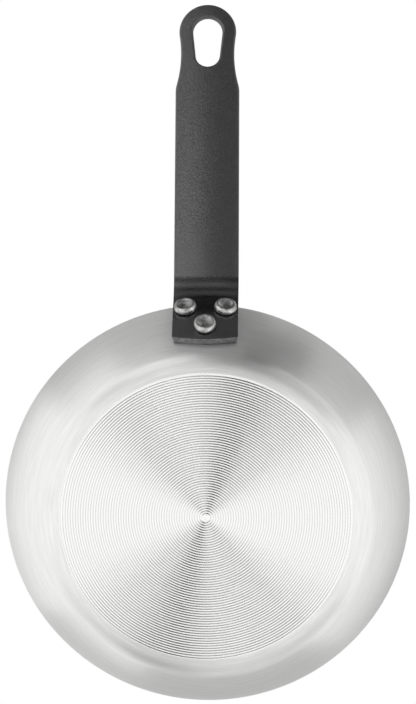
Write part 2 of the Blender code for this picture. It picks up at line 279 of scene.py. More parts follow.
# Each line is a name, its place in metres and its power in watts.
LAMPS = [
    ("low_left", (1.25, -0.1, -0.45), 12.0),
    ("low_right", (-1.0, -0.3, -0.7), 2.0),
    ("low_near", (0.2, -1.2, -0.5), 10.0),
    ("high_front", (-0.8, -0.9, 1.1), 18.0),
    ("high_back", (0.9, 0.9, 1.2), 14.0),
]
for name, place, power in LAMPS:
    data = bpy.data.lights.new(name, "AREA")
    data.size = LAMP_SIDE
    data.energy = power
    lamp = bpy.data.objects.new(name, data)
    lamp.location = place
    lamp.rotation_euler = (CAMERA_TARGET - Vector(place)).to_track_quat("-Z", "Y").to_euler()
    lamp.visible_camera = False
    lamp.visible_glossy = False
    scene.collection.objects.link(lamp)
print("Lamps:", [line[0] for line in LAMPS])

# %% [markdown]
# ## Drawing outlines
# Every piece here could be cut from cylinders and blocks, but round shoulders and tapered slots come out
# cleaner from a drawn line: one vertex is spun about a centre for an arc, as with compasses, or extruded for
# a straight run. The line is then spun into a turned piece or filled into a flat one, so each outline has
# only the sizes that a draughtsman would write on it.


# %% Compasses, ruler and finishing
MERGE = 0.001 * MM


def draw_arc(form, start, centre, turn, steps):
    """Spin a line's last vertex about a centre in the XZ plane and return the new last vertex."""
    made = bmesh.ops.spin(form, geom=[start], cent=(centre[0], 0, centre[1]), axis=(0, -1, 0), angle=turn,
                          steps=steps)
    return made["geom_last"][0]


def draw_line(form, start, x, z):
    """Extrude a line's last vertex to a point of the XZ plane and return the new vertex."""
    end = bmesh.ops.extrude_vert_indiv(form, verts=[start])["verts"][0]
    end.co = (x, 0, z)
    return end


def spin_round(form, steps):
    """Turn everything drawn once round the Z axis."""
    bmesh.ops.spin(form, geom=form.verts[:] + form.edges[:], cent=(0, 0, 0), axis=(0, 0, 1),
                   angle=2 * math.pi, steps=steps, use_merge=True)
    bmesh.ops.remove_doubles(form, verts=form.verts, dist=MERGE)


def add_piece(name, form, materials, node, sharp):
    """Make the finished mesh a piece that rides on the pan and stands for its solid."""
    mesh = bpy.data.meshes.new(name)
    form.to_mesh(mesh)
    form.free()
    for material in materials:
        mesh.materials.append(material)
    mesh.shade_smooth()
    mesh.set_sharp_from_angle(angle=sharp)
    piece = bpy.data.objects.new(name, mesh)
    scene.collection.objects.link(piece)
    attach(piece, "root")
    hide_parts(node)
    triangles = sum(len(face.vertices) - 2 for face in mesh.polygons)
    print(name, "has", triangles, "triangles")
    return piece


# %% [markdown]
# ## Aluminium
# The pan is pressed from pure aluminium sheet, which isn't anodised. Its base is turned on a lathe and its
# wall is brushed as it spins, so every scratch runs round the axis, and highlights stretch across the
# scratches. A texture stretched in polar coordinates would show a seam where the angle starts again. Here
# the noise is read on a ring in space instead, which has no seam, and the ring rises in step with how far out
# and up the wall a point lies. The shader's tangent runs round the axis, and a quarter turn of the anisotropy
# lays the stretch along the wall. A metal keeps the default IOR, and its colour is its reflection.


# %% Patterns that run round the axis
def round_the_axis(tree, streak_length, streak_width, at_radius):
    """Coordinates whose noise makes streaks of this length and width at a radius, with no seam."""
    place = add_node(tree, "ShaderNodeTexCoord").outputs["Object"]
    flat = add_node(tree, "ShaderNodeVectorMath", {0: place, 1: (1, 1, 0)}, operation="MULTIPLY").outputs[0]
    facing = add_node(tree, "ShaderNodeVectorMath", {0: flat}, operation="NORMALIZE").outputs[0]
    ring = add_node(tree, "ShaderNodeVectorMath", {0: facing, "Scale": at_radius / streak_length},
                    operation="SCALE").outputs[0]
    radius = add_node(tree, "ShaderNodeVectorMath", {0: flat}, operation="LENGTH").outputs["Value"]
    height = add_node(tree, "ShaderNodeSeparateXYZ", {0: place}).outputs["Z"]
    slant = add_node(tree, "ShaderNodeMath", {0: radius, 1: height}, operation="ADD").outputs[0]
    rise = add_node(tree, "ShaderNodeMath", {0: slant, 1: per_metre(streak_width)},
                    operation="MULTIPLY").outputs[0]
    up = add_node(tree, "ShaderNodeCombineXYZ", {"Z": rise}).outputs[0]
    return add_node(tree, "ShaderNodeVectorMath", {0: ring, 1: up}, operation="ADD").outputs[0]


def round_tangent(tree):
    """The direction of the scratches, round the axis."""
    place = add_node(tree, "ShaderNodeTexCoord").outputs["Object"]
    across = add_node(tree, "ShaderNodeVectorMath", {0: (0, 0, 1), 1: place}, operation="CROSS_PRODUCT")
    return across.outputs[0]


print("Streaks 0.2 mm wide need a scale of", round(per_metre(0.2 * MM)), "to the metre")

# %% [markdown]
# The wall is brushed with an abrasive pad. Its real scratches are a few hundredths of a millimetre wide, too
# fine to show from here, so the strokes are drawn 0.2 mm wide. They give the eye a soft grey sheen with faint
# rings, and broad, weak patches tell where the pad was pressed harder. A brushed metal's roughness is near
# 0.3, and the strokes move it a little.

# %% Brushed aluminium for the wall
MID_WALL_RADIUS = 52 * MM
STROKE_LENGTH = 11 * MM
STROKE_WIDTH = 0.2 * MM
STROKE_DEPTH = 0.003 * MM
PATCH_LENGTH = 60 * MM
PATCH_WIDTH = 3.2 * MM

brushed, tree, shader = new_material("brushed_aluminium")
strokes = round_the_axis(tree, STROKE_LENGTH, STROKE_WIDTH, MID_WALL_RADIUS)
patches = round_the_axis(tree, PATCH_LENGTH, PATCH_WIDTH, MID_WALL_RADIUS)
fine = add_node(tree, "ShaderNodeTexNoise",
                {"Vector": strokes, "Scale": 1.0, "Detail": 1.0, "Roughness": 0.6})
broad = add_node(tree, "ShaderNodeTexNoise", {"Vector": patches, "Scale": 1.0, "Detail": 2.0})
blend = add_node(tree, "ShaderNodeMix", {"Factor": 0.06, 2: fine.outputs["Fac"], 3: broad.outputs["Fac"]})
tone = add_node(tree, "ShaderNodeMapRange", {"Value": blend.outputs[0], "From Min": 0.37, "From Max": 0.63})
finish = add_node(tree, "ShaderNodeMix", {0: tone.outputs[0], 6: colour("F0F0EF"), 7: colour("FAFAF9")},
                  data_type="RGBA")
rough = add_node(tree, "ShaderNodeMapRange", {"Value": blend.outputs[0], "From Min": 0.3, "From Max": 0.7,
                                              "To Min": 0.4, "To Max": 0.3})
bump = add_node(tree, "ShaderNodeBump", {"Height": fine.outputs["Fac"], "Distance": STROKE_DEPTH})
shader.inputs["Metallic"].default_value = 1.0
shader.inputs["Anisotropic"].default_value = 0.8
shader.inputs["Anisotropic Rotation"].default_value = 0.25
tree.links.new(finish.outputs[2], shader.inputs["Base Color"])
tree.links.new(rough.outputs[0], shader.inputs["Roughness"])
tree.links.new(bump.outputs[0], shader.inputs["Normal"])
tree.links.new(round_tangent(tree), shader.inputs["Tangent"])
print("Material", brushed.name, "with", len(tree.nodes), "nodes")

# %% [markdown]
# The turned base is the same metal, cut with a pointed tool and so brighter than the brushed wall. The
# grooves could be drawn by the material, but they are modelled below, so the material only adds a painted
# shade, darker towards each groove's bottom, and a finely torn cut.

# %% Turned aluminium for the base
GROOVE_DEPTH = 0.06 * MM
MID_DISC_RADIUS = 25 * MM
TEAR_LENGTH = 4 * MM
TEAR_WIDTH = 0.2 * MM

turned, tree, shader = new_material("turned_aluminium")
place = add_node(tree, "ShaderNodeTexCoord").outputs["Object"]
height = add_node(tree, "ShaderNodeSeparateXYZ", {0: place}).outputs["Z"]
# Painted shade: the colour darkens towards each groove's bottom, where the groove would shade itself.
painted_groove_shade = add_node(tree, "ShaderNodeMapRange", {"Value": height, "From Min": 0.0, "From Max": GROOVE_DEPTH})
tears = round_the_axis(tree, TEAR_LENGTH, TEAR_WIDTH, MID_DISC_RADIUS)
patchy_noise = add_node(tree, "ShaderNodeTexNoise", {"Vector": tears, "Scale": 1.0, "Detail": 2.0})
finish = add_node(tree, "ShaderNodeMix", {0: painted_groove_shade.outputs[0], 6: colour("FDFDFC"), 7: colour("D4D4D3")},
                  data_type="RGBA")
rough = add_node(tree, "ShaderNodeMapRange", {"Value": patchy_noise.outputs["Fac"], "From Min": 0.3, "From Max": 0.7,
                                              "To Min": 0.18, "To Max": 0.28})
shader.inputs["Metallic"].default_value = 1.0
shader.inputs["Anisotropic"].default_value = 0.6
shader.inputs["Anisotropic Rotation"].default_value = 0.25
tree.links.new(finish.outputs[2], shader.inputs["Base Color"])
tree.links.new(rough.outputs[0], shader.inputs["Roughness"])
tree.links.new(round_tangent(tree), shader.inputs["Tangent"])
print("Material", turned.name, "with", len(tree.nodes), "nodes")

# %% [markdown]
# The inside carries a sprayed non-stick coat: a dark fluoropolymer, satin, with fine mineral flecks. Flecks
# could be scattered as tiny pieces, but a Voronoi pattern has one point per cell, and its distance from that
# point draws a round fleck. They are drawn about twice as coarse as real ones, so that they show.

# %% Non-stick coat
FLECK_SPACING = 0.9 * MM
PEEL_SIZE = 0.8 * MM
PEEL_DEPTH = 0.02 * MM

nonstick, tree, shader = new_material("nonstick_coat")
place = add_node(tree, "ShaderNodeTexCoord").outputs["Object"]
fleck = add_node(tree, "ShaderNodeTexVoronoi", {"Vector": place, "Scale": per_metre(FLECK_SPACING)})
small = add_node(tree, "ShaderNodeMapRange", {"Value": fleck.outputs["Distance"], "From Min": 0.12,
                                              "From Max": 0.2, "To Min": 0.5, "To Max": 0.0})
finish = add_node(tree, "ShaderNodeMix", {0: small.outputs[0], 6: colour("2A2A2B"), 7: colour("6A6A6A")},
                  data_type="RGBA")
peel = add_node(tree, "ShaderNodeTexNoise", {"Vector": place, "Scale": per_metre(PEEL_SIZE), "Detail": 2.0})
bump = add_node(tree, "ShaderNodeBump", {"Height": peel.outputs["Fac"], "Distance": PEEL_DEPTH})
shader.inputs["Roughness"].default_value = 0.38
tree.links.new(finish.outputs[2], shader.inputs["Base Color"])
tree.links.new(bump.outputs[0], shader.inputs["Normal"])
print("Material", nonstick.name, "with", len(tree.nodes), "nodes")

# %% [markdown]
# ## The pan
# The pan is one pressed disc: a flat base, a tight corner and a wall that steepens to the rim. The wall could
# be a free curve, but a press tool is cut with radii, so it is one wide arc that carries on from the corner.
# Its radius and its centre follow from where it starts, how steeply, and where the rim is.

# %% The pan's sizes
RIM_RADIUS = 60.2 * MM
RIM_HEIGHT = 18.0 * MM
BASE_RADIUS = 44.0 * MM
CORNER_RADIUS = 8.0 * MM
CORNER_TURN = math.radians(42)

corner_x = BASE_RADIUS + CORNER_RADIUS * math.sin(CORNER_TURN)
corner_z = CORNER_RADIUS * (1 - math.cos(CORNER_TURN))
chord = math.hypot(RIM_RADIUS - corner_x, RIM_HEIGHT - corner_z)
chord_slope = math.atan2(RIM_HEIGHT - corner_z, RIM_RADIUS - corner_x)
RIM_SLOPE = 2 * chord_slope - CORNER_TURN
WALL_RADIUS = chord / (2 * math.sin(chord_slope - CORNER_TURN))
WALL_CENTRE = (corner_x - WALL_RADIUS * math.sin(CORNER_TURN), corner_z + WALL_RADIUS * math.cos(CORNER_TURN))
print("The wall is an arc of", round(WALL_RADIUS / MM, 1), "mm that ends at", round(math.degrees(RIM_SLOPE)),
      "degrees")

# %% [markdown]
# The turned disc is one spiral groove, as a lathe leaves it. It could be a bump of rings in the material, but
# real flanks mirror the cards as fans and hold up close. Its section is spun for one full turn without
# joining, and every vertex is then pushed out in step with its bearing, by one pitch over the turn: the end
# of the turn meets the start of the next groove, and merging closes the seam. What would pass the disc's edge
# is held at the edge. The groove fades out at its two ends, where the tool lifts.

# %% The spiral of the turned base
TURNED_RADIUS = 42.8 * MM
PAN_STEPS = 256
GROOVE_PITCH = 0.740 * MM
EDGE_LAND = 0.10 * MM
LAND_SHARE = 0.48
RUN_OUT = 0.3 * MM
GROOVE_END = TURNED_RADIUS - EDGE_LAND
GROOVES = int(GROOVE_END / GROOVE_PITCH)
GROOVE_START = GROOVE_END - GROOVES * GROOVE_PITCH


def groove_fade(radius):
    """How much of the groove's depth is left near its two ends."""
    share = min(radius - GROOVE_START, GROOVE_END - radius) / RUN_OUT
    return max(0.0, min(1.0, share))


def cut_spiral(form):
    """The grooved disc, flat along its inner and its outer edge."""
    pen = form.verts.new((GROOVE_START, 0, 0))
    for groove in range(GROOVES):
        inner = GROOVE_START + groove * GROOVE_PITCH
        pen = draw_line(form, pen, inner + LAND_SHARE * GROOVE_PITCH, 0)
        pen = draw_line(form, pen, inner + (1 + LAND_SHARE) / 2 * GROOVE_PITCH, GROOVE_DEPTH)
        pen = draw_line(form, pen, inner + GROOVE_PITCH, 0)
    section = form.verts[:] + form.edges[:]
    made = bmesh.ops.spin(form, geom=section, cent=(0, 0, 0), axis=(0, 0, 1), angle=2 * math.pi,
                          steps=PAN_STEPS)
    full_turn = set(made["geom_last"])
    for vert in form.verts:
        turned_by = 1.0 if vert in full_turn else math.atan2(vert.co.y, vert.co.x) / (2 * math.pi) % 1.0
        radius = min(vert.co.xy.length + GROOVE_PITCH * turned_by, GROOVE_END)
        vert.co.xy = vert.co.xy.normalized() * radius
        vert.co.z *= groove_fade(radius)
    bmesh.ops.remove_doubles(form, verts=form.verts, dist=MERGE)


form = bmesh.new()
cut_spiral(form)
open_edges = [edge for edge in form.edges if edge.is_boundary]
print("The spiral has", GROOVES, "grooves and", len(open_edges), "open edges")

# %% [markdown]
# The rest of the pan is 3 mm sheet. A Solidify modifier could give a single face that thickness, but then the
# spiral would be copied to the inside as well. So the section is drawn whole: out from the disc's edge, up to
# the rim, across the sheet, and back down the inside about the same centres, so the sheet keeps its
# thickness. The two corners of the rim are rounded before the section is spun.

# %% Draw the section
PAN_SHEET = 3.0 * MM
RIM_ROUNDING = 0.9 * MM
CORNER_STEPS = 14
WALL_STEPS = 20
RIM_STEPS = 8


def pan_section(form):
    """Draw the pan's section from the disc's edge out, over the rim and back to the middle of the inside."""
    pen = form.verts.new((TURNED_RADIUS, 0, 0))
    pen = draw_line(form, pen, BASE_RADIUS, 0)
    pen = draw_arc(form, pen, (BASE_RADIUS, CORNER_RADIUS), CORNER_TURN, CORNER_STEPS)
    pen = draw_arc(form, pen, WALL_CENTRE, RIM_SLOPE - CORNER_TURN, WALL_STEPS)
    outer_corner = pen
    pen = draw_line(form, pen, RIM_RADIUS - PAN_SHEET * math.sin(RIM_SLOPE),
                    RIM_HEIGHT + PAN_SHEET * math.cos(RIM_SLOPE))
    inner_corner = pen
    pen = draw_arc(form, pen, WALL_CENTRE, CORNER_TURN - RIM_SLOPE, WALL_STEPS)
    pen = draw_arc(form, pen, (BASE_RADIUS, CORNER_RADIUS), -CORNER_TURN, CORNER_STEPS)
    draw_line(form, pen, 0, PAN_SHEET)
    bmesh.ops.bevel(form, geom=[outer_corner, inner_corner], offset=RIM_ROUNDING, segments=RIM_STEPS,
                    profile=0.5, affect="VERTICES", material=-1)


section = bmesh.new()
pan_section(section)
print("The section has", len(section.verts), "points")

# %% [markdown]
# The section is spun into a shell that is open where the turned disc belongs. Two short steps join them: a
# bridge between the two open circles, and a fill over the small hole at the middle.

# %% Spin the section and join it to the spiral
spin_round(section, PAN_STEPS)
shell_mesh = bpy.data.meshes.new("shell")
section.to_mesh(shell_mesh)
section.free()
form.from_mesh(shell_mesh)
bpy.data.meshes.remove(shell_mesh)


def open_loop(form, inner, outer):
    """The open edges between two radii."""
    return [edge for edge in form.edges if edge.is_boundary and inner < edge.verts[0].co.xy.length < outer]


bmesh.ops.bridge_loops(form, edges=open_loop(form, TURNED_RADIUS / 2, RIM_RADIUS))
bmesh.ops.holes_fill(form, edges=open_loop(form, 0, TURNED_RADIUS / 2))
bmesh.ops.recalc_face_normals(form, faces=form.faces)
print("Open edges left:", sum(edge.is_boundary for edge in form.edges))

# %% [markdown]
# Three finishes meet on this one piece. It could be split into three, but the real pan is one, so each face
# is told its own finish: the turned metal on the disc, the coat on every face that looks towards the middle
# of the open side, and the brushed metal on the rest, with the rim's bare top.

# %% Give each face its finish
TURNED, BRUSHED, COATED = 0, 1, 2
OPEN_MIDDLE = Vector((0, 0, RIM_HEIGHT))
for face in form.faces:
    middle = face.calc_center_median()
    if (OPEN_MIDDLE - middle).dot(face.normal) > 0:
        face.material_index = COATED
    elif middle.xy.length < TURNED_RADIUS:
        face.material_index = TURNED
    else:
        face.material_index = BRUSHED
GROOVE_EDGE = math.radians(14)
add_piece("pressed_pan", form, [turned, brushed, nonstick], "pan_body", GROOVE_EDGE)

# %% [markdown]
# ## The handle's coat
# The handle is steel strip under a powder coat: a charcoal polyester that is sprayed dry and baked. It melts
# to a satin skin with a fine orange peel, which catches the light as a grain. In the bend the powder gathers
# and flows out smoother, so the bend mirrors the cards as crisp bands. The grain could be one bump alone, but
# its colour and its roughness change with it on a real coat, so one noise drives all three. It is drawn
# 0.65 mm coarse, about three times the real grain, so that it shows. Polyester has an IOR of about 1.55; the
# coat's strong sheen asks for a little more.

# %% Powder coat
GRAIN_SIZE = 0.65 * MM
GRAIN_DEPTH = 0.05 * MM
CLOUD_SIZE = 9 * MM
# The smooth stretch, as distances from the pan's axis: its middle, its reach both ways, and where the full
# grain is back.
SMOOTH_MIDDLE = 62.6 * MM
SMOOTH_REACH = 3.1 * MM
GRAINY_FROM = 5.9 * MM

coat, tree, shader = new_material("charcoal_powder_coat")
place = add_node(tree, "ShaderNodeTexCoord").outputs["Object"]
grain = add_node(tree, "ShaderNodeTexNoise",
                 {"Vector": place, "Scale": per_metre(GRAIN_SIZE), "Detail": 3.0, "Roughness": 0.7})
cloud = add_node(tree, "ShaderNodeTexNoise", {"Vector": place, "Scale": per_metre(CLOUD_SIZE), "Detail": 2.0})
tone = add_node(tree, "ShaderNodeMix", {"Factor": 0.2, 2: grain.outputs["Fac"], 3: cloud.outputs["Fac"]})
spread = add_node(tree, "ShaderNodeMapRange", {"Value": tone.outputs[0], "From Min": 0.36, "From Max": 0.64})
finish = add_node(tree, "ShaderNodeMix", {0: spread.outputs[0], 6: colour("050506"), 7: colour("2A2A2B")},
                  data_type="RGBA")
along = add_node(tree, "ShaderNodeSeparateXYZ", {0: place}).outputs["Y"]
from_bend = add_node(tree, "ShaderNodeMath", {0: along, 1: SMOOTH_MIDDLE}, operation="SUBTRACT").outputs[0]
from_bend = add_node(tree, "ShaderNodeMath", {0: from_bend}, operation="ABSOLUTE").outputs[0]
flow = add_node(tree, "ShaderNodeMapRange", {"Value": from_bend, "From Min": SMOOTH_REACH,
                                             "From Max": GRAINY_FROM, "To Min": 0.14, "To Max": 0.26})
rough = add_node(tree, "ShaderNodeMath", {0: grain.outputs["Fac"], 1: 0.1, 2: flow.outputs[0]},
                 operation="MULTIPLY_ADD")
bump = add_node(tree, "ShaderNodeBump", {"Height": grain.outputs["Fac"], "Distance": GRAIN_DEPTH})
shader.inputs["IOR"].default_value = 1.7
shader.inputs["Specular IOR Level"].default_value = 1.0
tree.links.new(finish.outputs[2], shader.inputs["Base Color"])
tree.links.new(rough.outputs[0], shader.inputs["Roughness"])
tree.links.new(bump.outputs[0], shader.inputs["Normal"])
print("Material", coat.name, "with", len(tree.nodes), "nodes")

# %% [markdown]
# The strip's end was sheared, and its end face is given a lighter grey in mottled patches. A
# second coat painted over by a mask would need its own map, so the end face simply gets this material.

# %% Coat on the sheared end
END_PATCH_SIZE = 1.2 * MM

lighter_end_face, tree, shader = new_material("lighter_grey_end_face")
place = add_node(tree, "ShaderNodeTexCoord").outputs["Object"]
patchy_noise = add_node(tree, "ShaderNodeTexNoise",
                {"Vector": place, "Scale": per_metre(END_PATCH_SIZE), "Detail": 4.0, "Roughness": 0.6})
spread = add_node(tree, "ShaderNodeMapRange", {"Value": patchy_noise.outputs["Fac"], "From Min": 0.35,
                                               "From Max": 0.65})
finish = add_node(tree, "ShaderNodeMix", {0: spread.outputs[0], 6: colour("484849"), 7: colour("747475")},
                  data_type="RGBA")
shader.inputs["Roughness"].default_value = 0.5
tree.links.new(finish.outputs[2], shader.inputs["Base Color"])
print("Material", lighter_end_face.name, "with", len(tree.nodes), "nodes")

# %% [markdown]
# ## The handle
# The handle is stamped from strip and pressed: a plate that lies on the wall's curve, a bend, and a straight
# grip with a slight crown. It could be bent by modifiers, but a curved plate, a bend and a crown that run
# into each other are hard to place that way. So it is made in the real order: a flat blank first, and then
# each of its points is carried to its place on the pressed form. The path comes first, because the blank's
# length follows from it: up the wall's own arc, 0.3 mm clear of it, round the bend and along the grip.

# %% The path of the strip
STRIP_SHEET = 2.5 * MM
PLATE_FOOT_HEIGHT = 3.2 * MM
PLATE_TOP_HEIGHT = 15.8 * MM
BEND_RADIUS = 14.0 * MM
GRIP_RISE = math.radians(24.3)
GRIP_LENGTH = 84.2 * MM
SEAT_GAP = 0.3 * MM


def wall_slope(height):
    """The wall's slope at a height on its outer face."""
    return math.acos((WALL_CENTRE[1] - height) / WALL_RADIUS)


def wall_point(slope, outward):
    """A point at a slope of the wall, a distance outside its outer face: the radius and the height."""
    reach = WALL_RADIUS + outward
    return WALL_CENTRE[0] + reach * math.sin(slope), WALL_CENTRE[1] - reach * math.cos(slope)


MID_STRIP = SEAT_GAP + STRIP_SHEET / 2
FOOT_SLOPE = wall_slope(PLATE_FOOT_HEIGHT)
TOP_SLOPE = wall_slope(PLATE_TOP_HEIGHT)
PLATE_LENGTH = (WALL_RADIUS + MID_STRIP) * (TOP_SLOPE - FOOT_SLOPE)
BEND_LENGTH = BEND_RADIUS * (TOP_SLOPE - GRIP_RISE)
STRIP_LENGTH = PLATE_LENGTH + BEND_LENGTH + GRIP_LENGTH
print("Strip:", round(STRIP_LENGTH / MM, 1), "mm long, of which the plate takes", round(PLATE_LENGTH / MM, 1))

# %% [markdown]
# At each distance from its foot the strip has a place, a slope and a curve across it: the pan's own roundness
# on the plate, which eases over the bend into the grip's crown. That is all that the press needs to know.

# %% Where each point of the blank goes
GRIP_CROWN_RADIUS = 60.0 * MM


def strip_frame(distance):
    """Radius, height and slope of the strip's middle at a distance from its foot, and its crossways curve."""
    if distance <= PLATE_LENGTH:
        slope = FOOT_SLOPE + distance / (WALL_RADIUS + MID_STRIP)
        radius, height = wall_point(slope, MID_STRIP)
        return radius, height, slope, math.sin(slope) / radius
    top_radius, top_height = wall_point(TOP_SLOPE, MID_STRIP)
    top_curve = math.sin(TOP_SLOPE) / top_radius
    bent = min(distance - PLATE_LENGTH, BEND_LENGTH)
    slope = TOP_SLOPE - bent / BEND_RADIUS
    radius = top_radius + BEND_RADIUS * (math.sin(TOP_SLOPE) - math.sin(slope))
    height = top_height + BEND_RADIUS * (math.cos(slope) - math.cos(TOP_SLOPE))
    curve = top_curve + (1 / GRIP_CROWN_RADIUS - top_curve) * bent / BEND_LENGTH
    straight = distance - PLATE_LENGTH - bent
    return radius + straight * math.cos(slope), height + straight * math.sin(slope), slope, curve


def press(across, outward, distance):
    """A point of the flat blank after pressing: outward is measured from the middle of the strip."""
    radius, height, slope, curve = strip_frame(distance)
    turn = across * curve
    sag = (math.cos(turn) - 1) / curve + outward * math.cos(turn)
    side = math.sin(turn) / curve + outward * math.sin(turn)
    return Vector((side, radius + sag * math.sin(slope), height - sag * math.cos(slope)))


tip = press(0, 0, STRIP_LENGTH)
print("The tip is at", [round(c / MM, 1) for c in tip])

# %% [markdown]
# The blank is the same on its left and its right, so half of it is drawn. A round tip runs through two hollow
# arcs and two shoulders into the straight sides, and the foot is cut to a shallow arc. Where two arcs meet,
# they share a tangent, so each centre is worked out from the radii on its two sides.

# %% Draw the strip's outline
STRIP_WIDTH = 18.9 * MM
TIP_RADIUS = 8.45 * MM
WAIST_HALF_WIDTH = 7.9 * MM
WAIST_CURVE_RADIUS = 37.0 * MM
SHOULDER_RADIUS = 9.0 * MM
PLATE_END_RADIUS = 40.0 * MM
PLATE_CORNER_RADIUS = 0.4 * MM
TIP_STEPS = 24
WAIST_STEPS = 12
SHOULDER_STEPS = 6
FOOT_STEPS = 8
FOOT_CORNER_STEPS = 5


def draw_strip(form):
    """Half the blank's outline, from the tip to the middle of the foot."""
    half = STRIP_WIDTH / 2
    tip_z = STRIP_LENGTH - TIP_RADIUS
    waist_x = WAIST_HALF_WIDTH + WAIST_CURVE_RADIUS
    waist_z = tip_z - math.sqrt((WAIST_CURVE_RADIUS + TIP_RADIUS) ** 2 - waist_x ** 2)
    shoulder_x = half - SHOULDER_RADIUS
    shoulder_reach = math.sqrt((WAIST_CURVE_RADIUS + SHOULDER_RADIUS) ** 2 - (waist_x - shoulder_x) ** 2)
    tip_turn = math.atan2(waist_z - tip_z, waist_x)
    shoulder_turn = math.atan2(shoulder_reach, waist_x - shoulder_x)
    corner_x = half - PLATE_CORNER_RADIUS
    corner_z = PLATE_END_RADIUS - math.sqrt((PLATE_END_RADIUS - PLATE_CORNER_RADIUS) ** 2 - corner_x ** 2)
    corner_turn = math.atan2(corner_z - PLATE_END_RADIUS, corner_x)

    pen = form.verts.new((0, 0, STRIP_LENGTH))
    pen = draw_arc(form, pen, (0, tip_z), tip_turn - math.pi / 2, TIP_STEPS)
    pen = draw_arc(form, pen, (waist_x, waist_z), shoulder_turn - tip_turn, WAIST_STEPS)
    pen = draw_arc(form, pen, (shoulder_x, waist_z - shoulder_reach), -shoulder_turn, SHOULDER_STEPS)
    pen = draw_line(form, pen, half, corner_z)
    pen = draw_arc(form, pen, (corner_x, corner_z), corner_turn, FOOT_CORNER_STEPS)
    draw_arc(form, pen, (0, PLATE_END_RADIUS), -math.pi / 2 - corner_turn, FOOT_STEPS)


form = bmesh.new()
draw_strip(form)
print("Half the outline has", len(form.verts), "points")

# %% [markdown]
# The hanging slot is a drop: a wide arc at the tip's side, a narrow one towards the grip, and the straight
# lines that touch both. The wide end takes any hook and bears on it when the pan hangs.

# %% Draw the slot's outline
SLOT_WIDE_RADIUS = 4.4 * MM
SLOT_NARROW_RADIUS = 3.6 * MM
SLOT_CENTRES = 7.5 * MM
SLOT_TO_TIP = 4.0 * MM
SLOT_STEPS = 16


def draw_slot(form):
    """Half the hanging slot, from its wide end to its narrow one."""
    wide_z = STRIP_LENGTH - SLOT_TO_TIP - SLOT_WIDE_RADIUS
    narrow_z = wide_z - SLOT_CENTRES
    taper = math.asin((SLOT_WIDE_RADIUS - SLOT_NARROW_RADIUS) / SLOT_CENTRES)
    pen = form.verts.new((0, 0, wide_z + SLOT_WIDE_RADIUS))
    pen = draw_arc(form, pen, (0, wide_z), -math.pi / 2 - taper, SLOT_STEPS)
    pen = draw_line(form, pen, SLOT_NARROW_RADIUS * math.cos(taper),
                    narrow_z - SLOT_NARROW_RADIUS * math.sin(taper))
    draw_arc(form, pen, (0, narrow_z), taper - math.pi / 2, SLOT_STEPS)


draw_slot(form)
print("With the slot it has", len(form.verts))

# %% [markdown]
# The half is mirrored, filled round the slot and given its thickness. Coated steel has no sharp edge, so the
# long edges and the slot are rounded widely, and the sheared foot only enough to catch a thin line of light.

# %% Stamp the blank
EDGE_STEPS = 4
STRIP_EDGE_ROUNDING = 0.6 * MM
FOOT_EDGE_STEPS = 2
FOOT_EDGE_ROUNDING = 0.1 * MM
FOOT_REACH = 1.6 * MM
UPRIGHT_EDGE = math.radians(60)
ALMOST_FLAT = math.radians(1)

bmesh.ops.mirror(form, geom=form.verts[:] + form.edges[:], axis="X", merge_dist=MERGE)
bmesh.ops.triangle_fill(form, use_beauty=True, edges=form.edges)
bmesh.ops.dissolve_limit(form, angle_limit=ALMOST_FLAT, verts=form.verts, edges=form.edges)
sheet = bmesh.ops.extrude_face_region(form, geom=form.faces[:])
raised = [item for item in sheet["geom"] if isinstance(item, bmesh.types.BMVert)]
bmesh.ops.translate(form, verts=raised, vec=(0, STRIP_SHEET, 0))
bmesh.ops.translate(form, verts=form.verts, vec=(0, -STRIP_SHEET / 2, 0))
bmesh.ops.recalc_face_normals(form, faces=form.faces)


def round_edges(form, nearest, farthest, offset, segments):
    """Round the blank's square edges whose farther ends lie between two distances from its foot."""
    edges = [edge for edge in form.edges if edge.calc_face_angle(0) > UPRIGHT_EDGE
             and nearest <= max(vert.co.z for vert in edge.verts) < farthest]
    bmesh.ops.bevel(form, geom=edges, offset=offset, segments=segments, profile=0.5, affect="EDGES",
                    material=-1)


round_edges(form, FOOT_REACH, math.inf, STRIP_EDGE_ROUNDING, EDGE_STEPS)
round_edges(form, 0, FOOT_REACH, FOOT_EDGE_ROUNDING, FOOT_EDGE_STEPS)
print("Blank:", len(form.faces), "faces,", sum(edge.is_boundary for edge in form.edges), "open edges")

# %% [markdown]
# A flat face can't curve, so the blank is first cut across wherever it will bend, and lengthways for its
# crown. Each vertex then goes to its place on the pressed form. The fine cuts shade smoothly with the help of
# a Weighted Normal modifier, which lets the large faces set the shading.

# %% Press the blank
PLATE_STEPS = 12
BEND_STEPS = 16
STRIP_COLUMNS = 12
SHARP = math.radians(40)
END_FACE = math.radians(30)


def cut_across(form, place, direction):
    """Add a line of edges where the blank will curve."""
    bmesh.ops.bisect_plane(form, geom=form.verts[:] + form.edges[:] + form.faces[:], plane_co=place,
                           plane_no=direction, dist=MERGE)


for step in range(1, PLATE_STEPS + 1):
    cut_across(form, (0, 0, PLATE_LENGTH * step / PLATE_STEPS), (0, 0, 1))
for step in range(1, BEND_STEPS + 1):
    cut_across(form, (0, 0, PLATE_LENGTH + BEND_LENGTH * step / BEND_STEPS), (0, 0, 1))
for column in range(1, STRIP_COLUMNS):
    cut_across(form, (STRIP_WIDTH * (column / STRIP_COLUMNS - 0.5), 0, 0), (1, 0, 0))
bmesh.ops.triangulate(form, faces=form.faces)
for face in form.faces:
    at_the_foot = face.calc_center_median().z < FOOT_REACH
    face.material_index = int(at_the_foot and -face.normal.z > math.cos(END_FACE))
for vert in form.verts:
    vert.co = press(*vert.co)
bmesh.ops.recalc_face_normals(form, faces=form.faces)
handle = add_piece("strip_handle", form, [coat, lighter_end_face], "handle", SHARP)
evened = handle.modifiers.new("even_shading", "WEIGHTED_NORMAL")
evened.keep_sharp = True

